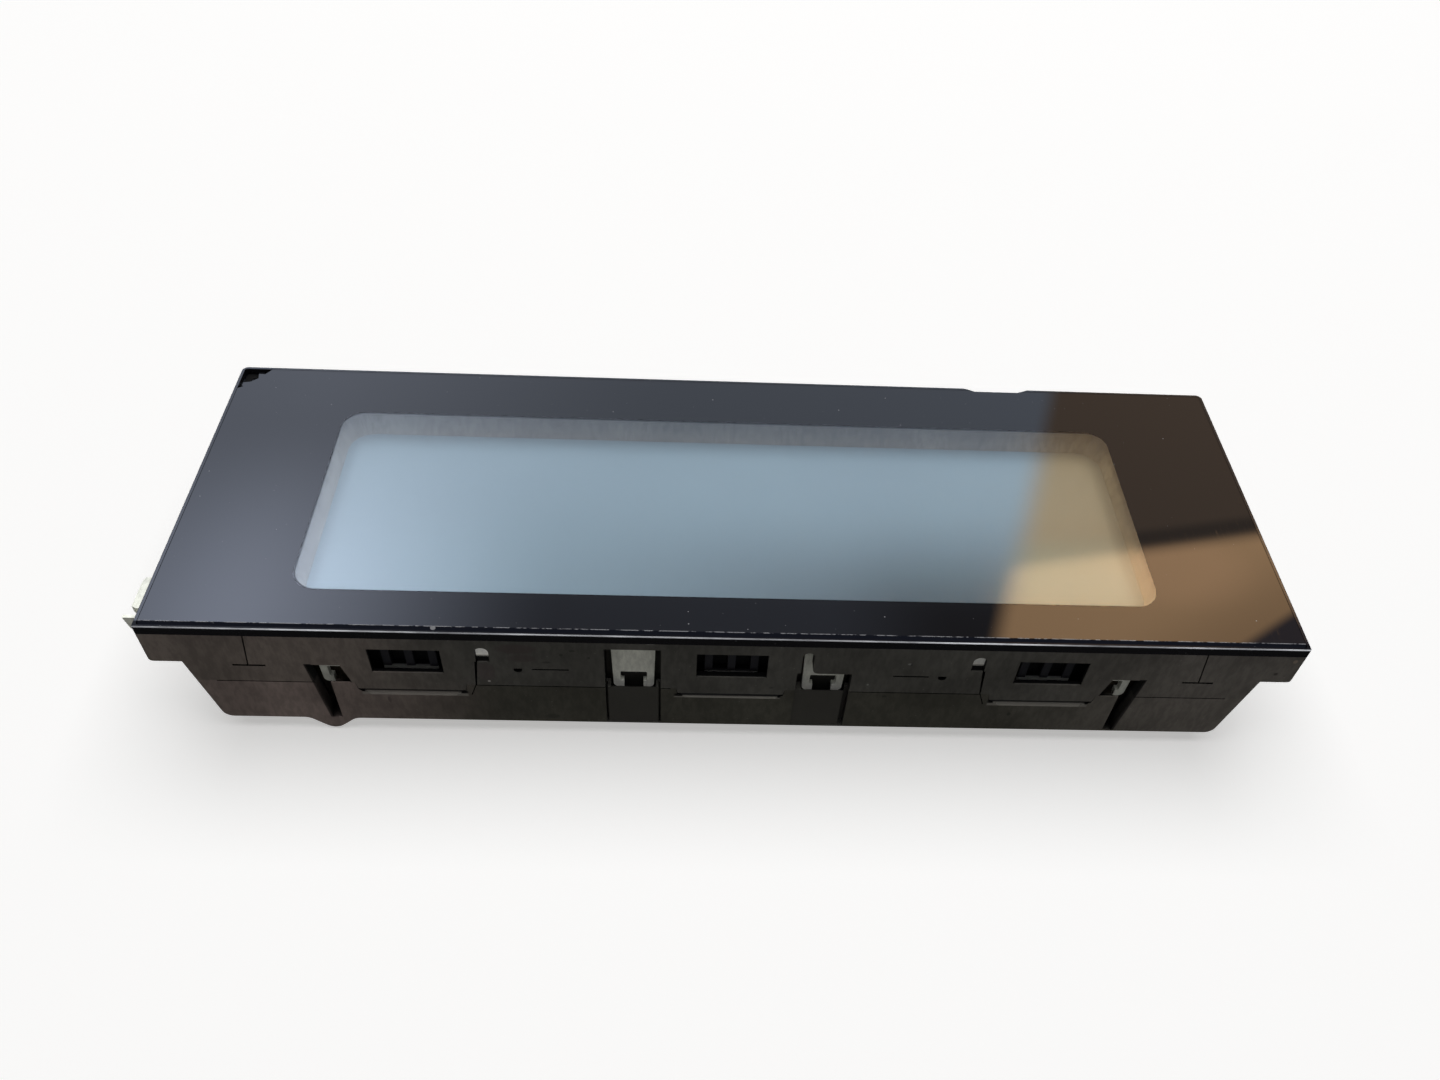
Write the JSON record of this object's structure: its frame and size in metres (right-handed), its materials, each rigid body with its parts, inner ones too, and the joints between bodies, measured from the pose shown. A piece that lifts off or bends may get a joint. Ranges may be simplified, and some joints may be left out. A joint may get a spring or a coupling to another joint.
{
  "type": "car radio display",
  "caption": "Wide dashboard display unit with a clear framed lens, snap-together housing, stacked screen and rear connector.",
  "frame": {"origin": "middle of the unit's outline, in the plane that the rear feet rest on", "axes": "+Z is the lens's outward normal, +X runs along the long side, -Y points to the long side with the L-shaped pocket"},
  "size_m": [0.2038, 0.0676, 0.029],
  "materials": {
    "clear_acrylic": "clear lens with a glossy face, fine scratches and a worn near edge",
    "black_print": "black print seen through the glossy lens",
    "black_tape": "black foam tape",
    "gloss_black": "piano black moulded plastic with hairline scratches",
    "housing_grey": "dark grey moulded plastic with a fine grain and dust",
    "cover_grey": "darker grey moulded plastic with a fine grain and dust",
    "carrier_white": "ivory moulded plastic",
    "black_foam": "soft black foam",
    "bezel_grey": "mid grey moulded plastic",
    "polariser": "grey green satin film",
    "display_glass": "thin display glass",
    "optical_film": "clear prism film",
    "white_sheet": "white diffusing sheet",
    "guide_acrylic": "clear acrylic plate",
    "board_green": "green solder mask on glass fibre board",
    "diode_white": "pale yellow diode packages",
    "chip_black": "black moulded chip package",
    "can_aluminium": "bare aluminium cans",
    "ferrite_grey": "dark grey ferrite",
    "can_steel": "steel can",
    "header_ivory": "ivory moulded plastic",
    "contact_brass": "plated brass contacts",
    "ribbon_amber": "amber polyimide ribbon",
    "screw_steel": "zinc plated steel"
  },
  "bodies": {
    "root": {"lens": "clear_acrylic", "mask_film": "black_print", "lens_tape": "black_tape", "front_frame": "gloss_black", "front_housing": "housing_grey", "rear_cover": "cover_grey", "light_box": "carrier_white", "foam_gasket": "black_foam", "lcd_bezel": "bezel_grey", "front_polariser": "polariser", "lcd_glass": "display_glass", "rear_polariser": "polariser", "prism_film": "optical_film", "diffuser_sheet": "white_sheet", "light_guide": "guide_acrylic", "reflector_sheet": "white_sheet", "led_board": "board_green", "backlight_leds": "diode_white", "main_board": "board_green", "processor": "chip_black", "driver_chip": "chip_black", "memory_chip": "chip_black", "capacitors": "can_aluminium", "choke_coil": "ferrite_grey", "crystal": "can_steel", "connector_header": "header_ivory", "header_pins": "contact_brass", "ribbon_cable": "ribbon_amber", "ribbon_socket": "header_ivory", "board_screws": "screw_steel", "cover_screws": "screw_steel"}
  },
  "joints": []
}
